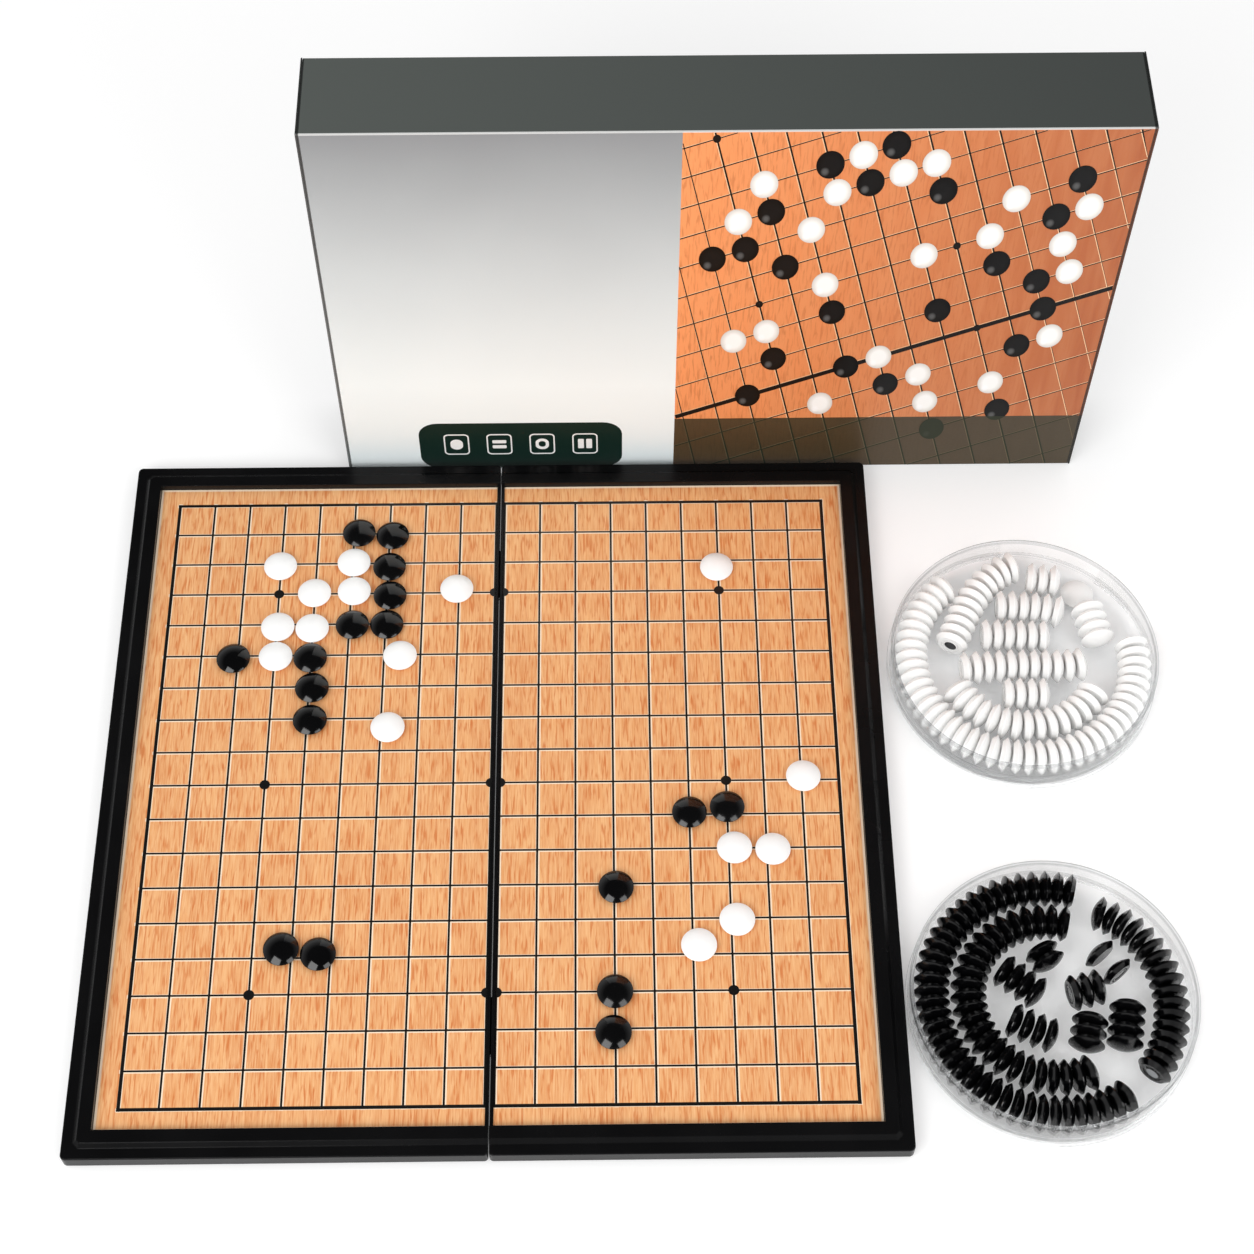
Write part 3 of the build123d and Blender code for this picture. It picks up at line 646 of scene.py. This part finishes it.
on_picture = calculate(card, "GREATER_THAN", card_x, PICTURE_LEFT)
front_print = mix_colour(card, on_picture, silver, picture)
on_strip = calculate(
    card, "MULTIPLY", on_picture, calculate(card, "LESS_THAN", card_z, STRIP_TOP)
)
strip_share = calculate(card, "MULTIPLY", on_strip, STRIP_ON_CARD)
front_print = mix_colour(card, strip_share, front_print, STRIP_COLOUR)
on_front = calculate(card, "LESS_THAN", card_y, CARTON_FRONT + FRONT_SKIN)
outer_print = mix_colour(card, on_front, slate, front_print)
# A pale line along the top front crease: partly bare paper showing at the fold, partly a painted
# highlight on the rounded crease.
near_top = calculate(card, "GREATER_THAN", card_z, CARTON_HIGH.z - CREASE_WIDTH)
near_front = calculate(card, "LESS_THAN", card_y, CARTON_FRONT + CREASE_WIDTH)
crease_paper_and_highlight = calculate(card, "MULTIPLY", near_top, near_front)
crease_paper_and_highlight = calculate(card, "MULTIPLY", crease_paper_and_highlight, CREASE_SHARE)
outer_print = mix_colour(card, crease_paper_and_highlight, outer_print, rgb(226, 226, 224))
# Painted shade: a thin band along both ends of the carton is darkened to near black.
painted_end_shade = calculate(
    card, "MAXIMUM",
    calculate(card, "LESS_THAN", card_x, CARTON_LOW.x + END_SHADE),
    calculate(card, "GREATER_THAN", card_x, CARTON_HIGH.x - END_SHADE),
)
painted_end_shade = calculate(card, "MULTIPLY", painted_end_shade, END_SHADE_SHARE)
outer_print = mix_colour(card, painted_end_shade, outer_print, rgb(24, 26, 25))

card_fibre = noise(card, card_place, 700.0, 3.0)
inside = 1.0
for along, low, high in (
    (card_x, CARTON_LOW.x - HALF_CARD, CARTON_HIGH.x + HALF_CARD),
    (card_y, CARTON_LOW.y + HALF_CARD, CARTON_HIGH.y - HALF_CARD),
    (card_z, CARTON_LOW.z + HALF_CARD, CARTON_HIGH.z - HALF_CARD),
):
    inside = calculate(card, "MULTIPLY", inside, calculate(card, "GREATER_THAN", along, low))
    inside = calculate(card, "MULTIPLY", inside, calculate(card, "LESS_THAN", along, high))
bare_card = mix_colour(card, card_fibre, rgb(150, 147, 140), rgb(178, 175, 168))
card_colour = mix_colour(card, inside, outer_print, bare_card)
card.links.new(card_colour, card_shader.inputs["Base Color"])
card.links.new(from_noise(card, card_fibre, 0.36, 0.46), card_shader.inputs["Roughness"])
card_bump = add_node(card, "ShaderNodeBump", Height=card_fibre, Distance=0.00003)
card.links.new(card_bump.outputs[0], card_shader.inputs["Normal"])
card_shader.inputs["Specular IOR Level"].default_value = 0.3
for node in ("carton_body", "carton_left_flap", "carton_right_flap"):
    dress(node, card_material)


# The carton's printed picture: a generic view of a game under way, seen at a slant, printed on
# the wood-coloured panel. Lines, star points and stones are films of ink laid on the card.
INK_FILM = 0.00002
INK_THICKNESS = INK_FILM * 0.8
LINE_LAYER, STAR_LAYER, STONE_LAYER = 2, 4, 5
PICTURE_CELL = 0.0158
PICTURE_TURN = math.radians(19.0)
PICTURE_CENTRE = (PICTURE_LEFT + 0.104, 0.140)
PICTURE_DEPTH = 0.9
PICTURE_STRETCH = 1.35
PANEL_LOW = (PICTURE_LEFT, 0.0006)
PANEL_HIGH = (CARTON_HIGH.x - 0.0002, CARTON_HIGH.z - 0.0008)
PANEL_FOOT = 0.0002
PARALLEL = 1e-9
PICTURED_REACH = 14
PICTURED_SEAM = -2
LINE_WIDTH, SEAM_WIDTH, LINE_EDGE = 0.0008, 0.0034, 0.0004
SHORTEST_LINE = 0.004
STAR_POINT = 0.0018
STAR_SIDES = 16
PICTURED_STARS = (
    (-4, 1), (2, 1), (8, 1), (-4, -5), (2, -5), (-4, 7), (2, 7), (2, PICTURED_SEAM),
)
PICTURE_STONE = 0.0063
STONE_STRETCH = 1.42
STONE_SIDES = 28
STONE_FLAT = 0.5
STONE_MARGINS = (0.0075, 0.0085, 0.009, 0.0085)
STONE_SHADE = (0.55, 1.0)
GLEAM_PLACE = (-0.35, -0.5, 0.0)
GLEAM_FADE, GLEAM_SHARE = (0.12, 0.34), 0.8
MOTTLE_GAIN, MOTTLE_LIFT = 1.25, 0.004


def on_panel(column, row):
    """Where a crossing of the pictured board falls on the carton's front, as (x, z)."""
    u, v = column * PICTURE_CELL, row * PICTURE_CELL
    turned_u = u * math.cos(PICTURE_TURN) - v * math.sin(PICTURE_TURN)
    turned_v = u * math.sin(PICTURE_TURN) + v * math.cos(PICTURE_TURN)
    far = 1.0 + PICTURE_DEPTH * turned_v
    x = PICTURE_CENTRE[0] + turned_u / far
    return x, PICTURE_CENTRE[1] + PICTURE_STRETCH * turned_v / far


def inside_panel(x, z, left, right, foot, top):
    """Whether a point keeps these margins to the picture panel's edges."""
    in_width = PICTURE_LEFT + left < x < CARTON_HIGH.x - right
    return in_width and foot < z < CARTON_HIGH.z - top


def clip_to_panel(start, end):
    """The stretch of a line that lies on the picture panel, or None."""
    first, last = 0.0, 1.0
    for axis in (0, 1):
        step = end[axis] - start[axis]
        if abs(step) < PARALLEL:
            continue
        a, b = (PANEL_LOW[axis] - start[axis]) / step, (PANEL_HIGH[axis] - start[axis]) / step
        first, last = max(first, min(a, b)), min(last, max(a, b))
    if first >= last:
        return None
    return [tuple(start[i] + (end[i] - start[i]) * t for i in (0, 1)) for t in (first, last)]


def line_strip(start, end, shift, width):
    """A line's corners on the panel, moved sideways by shift, or None where it is too short."""
    stretch = clip_to_panel(start, end)
    if stretch is None:
        return None
    (x0, z0), (x1, z1) = stretch
    length = math.hypot(x1 - x0, z1 - z0)
    if length < SHORTEST_LINE:
        return None
    across = (-(z1 - z0) / length, (x1 - x0) / length)
    corners = []
    for x, z, side in ((x0, z0, -1), (x1, z1, -1), (x1, z1, 1), (x0, z0, 1)):
        reach = shift + side * width / 2
        x = min(max(x + across[0] * reach, PICTURE_LEFT), CARTON_HIGH.x - END_SHADE)
        z = min(max(z + across[1] * reach, PANEL_FOOT), CARTON_HIGH.z - CREASE_WIDTH)
        corners.append((x, z))
    return corners


def ink_film(bm, outline, layer):
    """A closed film of ink on the carton's front, from an outline of (x, z) points."""
    back = CARTON_FRONT - INK_FILM * layer
    rings = []
    for y in (back, back - INK_THICKNESS):
        rings.append([bm.verts.new((x, y, z)) for x, z in outline])
    bm.faces.new(list(reversed(rings[0])))
    bm.faces.new(rings[1])
    join_rings(bm, *rings)


def finish_film(name, bm, material):
    """Turns the films into a piece that moves with the carton."""
    piece = new_piece(name, bm, material)
    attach(piece, "carton")


def under_strip(tree, colour):
    """The colour as it shows through the dark see-through band along the picture's foot."""
    axes = add_node(tree, "ShaderNodeSeparateXYZ", Vector=place_on_piece(tree))
    covered = calculate(
        tree, "MULTIPLY", calculate(tree, "LESS_THAN", axes.outputs["Z"], STRIP_TOP),
        calculate(tree, "GREATER_THAN", axes.outputs["X"], PICTURE_LEFT),
    )
    covered = calculate(tree, "MULTIPLY", covered, STRIP_ON_INK)
    return mix_colour(tree, covered, colour, STRIP_COLOUR)


def ink_finish(name, colour):
    """A plain printing ink with a trace of mottle, under the carton's varnish."""
    material, tree, shader = new_material(name)
    mottle = noise(tree, place_on_piece(tree), 900.0, 2.0)
    lighter = [min(1.0, level * MOTTLE_GAIN + MOTTLE_LIFT) for level in colour[:3]]
    tone = mix_colour(tree, mottle, colour, (*lighter, 1.0))
    tree.links.new(under_strip(tree, tone), shader.inputs["Base Color"])
    tree.links.new(from_noise(tree, mottle, 0.36, 0.46), shader.inputs["Roughness"])
    shader.inputs["Specular IOR Level"].default_value = 0.15
    return material


lines, line_edges = bmesh.new(), bmesh.new()
for number in range(-PICTURED_REACH, PICTURED_REACH + 1):
    for family in (0, 1):
        reaches = (-PICTURED_REACH, PICTURED_REACH)
        ends = [(number, reach) if family else (reach, number) for reach in reaches]
        start, end = (on_panel(*place) for place in ends)
        width = SEAM_WIDTH if number == PICTURED_SEAM and not family else LINE_WIDTH
        strip = line_strip(start, end, 0.0, width)
        if strip is None:
            continue
        ink_film(lines, strip, LINE_LAYER + family)
        edge = line_strip(start, end, (width + LINE_EDGE) / 2, LINE_EDGE)
        if edge is not None:
            ink_film(line_edges, edge, family)
for column, row in PICTURED_STARS:
    x, z = on_panel(column, row)
    if inside_panel(x, z, STAR_POINT, STAR_POINT, STAR_POINT, STAR_POINT):
        spot = [
            (x + STAR_POINT * across, z + STAR_POINT * STONE_STRETCH * up)
            for across, up in circle(STAR_SIDES)
        ]
        ink_film(lines, spot, STAR_LAYER)
finish_film("carton_picture_line_edges", line_edges, ink_finish("picture_pale", rgb(244, 196, 156)))
finish_film("carton_picture_lines", lines, ink_finish("picture_black", rgb(12, 9, 8)))


def pictured_stone_finish(name, face, edge, gleam):
    """A stone as the picture shows it: shaded to its edge, with one soft gleam."""
    material, tree, shader = new_material(name)
    place = add_node(tree, "ShaderNodeAttribute", {"attribute_name": "spot"}).outputs["Vector"]
    distance = add_node(tree, "ShaderNodeVectorMath", {"operation": "LENGTH"}, i0=place)
    shade = ramp(tree, distance.outputs["Value"], *STONE_SHADE)
    tone = mix_colour(tree, shade, face, edge)
    offset = add_node(
        tree, "ShaderNodeVectorMath", {"operation": "DISTANCE"}, i0=place, i1=GLEAM_PLACE
    )
    shine = ramp(tree, offset.outputs["Value"], *GLEAM_FADE, GLEAM_SHARE, 0.0)
    tone = mix_colour(tree, shine, tone, gleam)
    tree.links.new(under_strip(tree, tone), shader.inputs["Base Color"])
    shader.inputs["Roughness"].default_value = 0.4
    shader.inputs["Specular IOR Level"].default_value = 0.15
    return material


PICTURED_GAME = {
    "black": (
        (-5, 3), (-4, 3), (-3, 2), (-3, 4), (-1, 5), (0, 4), (1, 5), (2, 3), (4, -1), (4, -2),
        (3, -3), (5, 1), (-2, -2), (-1, -3), (0, -5), (-4, -1), (1, -1), (-5, -2), (6, 2), (3, 0),
        (-2, 0), (2, -5), (5, -4), (3, 6),
    ),
    "white": (
        (-4, 4), (-3, 5), (-2, 3), (-1, 4), (0, 5), (1, 4), (2, 4), (5, 0), (5, -1), (4, -3),
        (-1, -2), (0, -3), (0, -4), (2, -4), (-4, 0), (1, 1), (3, 1), (6, 1), (4, 2), (-3, -3),
        (-5, 0), (2, 6), (-2, 1),
    ),
}
PICTURED_FINISH = {
    "black": pictured_stone_finish(
        "pictured_black", rgb(16, 16, 17), rgb(4, 4, 4), rgb(96, 96, 96)
    ),
    "white": pictured_stone_finish(
        "pictured_white", rgb(250, 249, 246), rgb(214, 208, 200), rgb(255, 255, 255)
    ),
}
STONE_BACK = CARTON_FRONT - INK_FILM * STONE_LAYER
STONE_FRONT = CARTON_FRONT - INK_FILM * (STONE_LAYER + 1)
for colour, crossings in PICTURED_GAME.items():
    stones = bmesh.new()
    spot_layer = stones.verts.layers.float_vector.new("spot")
    for column, row in crossings:
        middle = on_panel(column, row)
        if not inside_panel(*middle, *STONE_MARGINS):
            continue
        rings = []
        for depth, share in ((STONE_BACK, 1.0), (STONE_FRONT, 1.0), (STONE_FRONT, STONE_FLAT)):
            ring = []
            for across, up in circle(STONE_SIDES):
                x = middle[0] + PICTURE_STONE * across * share
                z = middle[1] + PICTURE_STONE * STONE_STRETCH * up * share
                vertex = stones.verts.new((x, depth, z))
                vertex[spot_layer] = (share * across, share * up, 0.0)
                ring.append(vertex)
            rings.append(ring)
        centre = stones.verts.new((middle[0], STONE_FRONT, middle[1]))
        stones.faces.new(list(reversed(rings[0])))
        join_rings(stones, rings[0], rings[1])
        join_rings(stones, rings[1], rings[2])
        for index in range(STONE_SIDES):
            stones.faces.new((rings[2][index], rings[2][(index + 1) % STONE_SIDES], centre))
    finish_film(f"carton_picture_{colour}_stones", stones, PICTURED_FINISH[colour])


# The dark green tab at the foot of the silver side, with four plain signs outlined in white.
TAB_LEFT = CARTON_LOW.x + 0.0370
TAB_WIDTH = 0.1041
TAB_FOOT, TAB_TOP = 0.0012, 0.0396
TAB_CORNER = 0.010
TAB_LAYER, SIGN_LAYER = 1, 2
CORNER_STEPS = 6
SIGN_COUNT = 4
SIGN_SIZE = 0.0130
SIGN_PITCH = 0.0220
SIGN_HEIGHT = 0.0215
SIGN_STRETCH = 1.35
SIGN_CORNER = 0.0026
SIGN_LINE = 0.0007
DOT = 0.0064
BAR_LENGTH, BAR_WIDTH, BAR_RISE = 0.0072, 0.0020, 0.0016
RING_OUTER, RING_INNER = 0.0068, 0.0036
POST_WIDTH, POST_LENGTH, POST_SHIFT = 0.0030, 0.0060, 0.0021
MARK_CORNER = 0.0006


def rounded_outline(left, foot, width, height, corner):
    """A rounded rectangle's outline on the carton's front, as (x, z) points."""
    near_x, far_x = left + corner, left + width - corner
    near_z, far_z = foot + corner, foot + height - corner
    points = []
    for x, z, start in (
        (far_x, near_z, -90), (far_x, far_z, 0), (near_x, far_z, 90), (near_x, near_z, 180),
    ):
        for step in range(CORNER_STEPS + 1):
            turn = math.radians(start + 90 * step / CORNER_STEPS)
            points.append((x + corner * math.cos(turn), z + corner * math.sin(turn)))
    return points


def ink_ring(bm, outer, inner, layer):
    """A closed frame of ink between two outlines with as many points."""
    back = CARTON_FRONT - INK_FILM * layer
    front = back - INK_THICKNESS
    loops = [
        [bm.verts.new((x, y, z)) for x, z in outline]
        for outline, y in ((outer, back), (outer, front), (inner, front), (inner, back))
    ]
    for a, b in zip(loops, loops[1:] + loops[:1]):
        join_rings(bm, a, b)


def sign_shape(middle, width, height, corner, rise=0.0):
    """A rounded shape of a sign, drawn taller because the tab is seen at a slant."""
    height *= SIGN_STRETCH
    foot = SIGN_HEIGHT + rise * SIGN_STRETCH - height / 2
    return rounded_outline(middle - width / 2, foot, width, height, corner)


tab = bmesh.new()
tab_outline = rounded_outline(TAB_LEFT, TAB_FOOT, TAB_WIDTH, TAB_TOP - TAB_FOOT, TAB_CORNER)
ink_film(tab, tab_outline, TAB_LAYER)
finish_film("carton_tab", tab, ink_finish("tab_green", rgb(12, 36, 30)))

signs = bmesh.new()
first_sign = TAB_LEFT + TAB_WIDTH / 2 - (SIGN_COUNT - 1) / 2 * SIGN_PITCH
for number in range(SIGN_COUNT):
    middle = first_sign + number * SIGN_PITCH
    outer = sign_shape(middle, SIGN_SIZE, SIGN_SIZE, SIGN_CORNER)
    room = SIGN_SIZE - 2 * SIGN_LINE
    inner = sign_shape(middle, room, room, SIGN_CORNER - SIGN_LINE)
    ink_ring(signs, outer, inner, SIGN_LAYER)
    if number == 0:
        ink_film(signs, sign_shape(middle, DOT, DOT, DOT / 2), SIGN_LAYER)
    elif number == 1:
        for rise in (-BAR_RISE, BAR_RISE):
            bar = sign_shape(middle, BAR_LENGTH, BAR_WIDTH, MARK_CORNER, rise)
            ink_film(signs, bar, SIGN_LAYER)
    elif number == 2:
        outer = sign_shape(middle, RING_OUTER, RING_OUTER, RING_OUTER / 2)
        inner = sign_shape(middle, RING_INNER, RING_INNER, RING_INNER / 2)
        ink_ring(signs, outer, inner, SIGN_LAYER)
    else:
        for shift in (-POST_SHIFT, POST_SHIFT):
            post = sign_shape(middle + shift, POST_WIDTH, POST_LENGTH, MARK_CORNER)
            ink_film(signs, post, SIGN_LAYER)
finish_film("carton_tab_signs", signs, ink_finish("sign_white", rgb(236, 238, 236)))
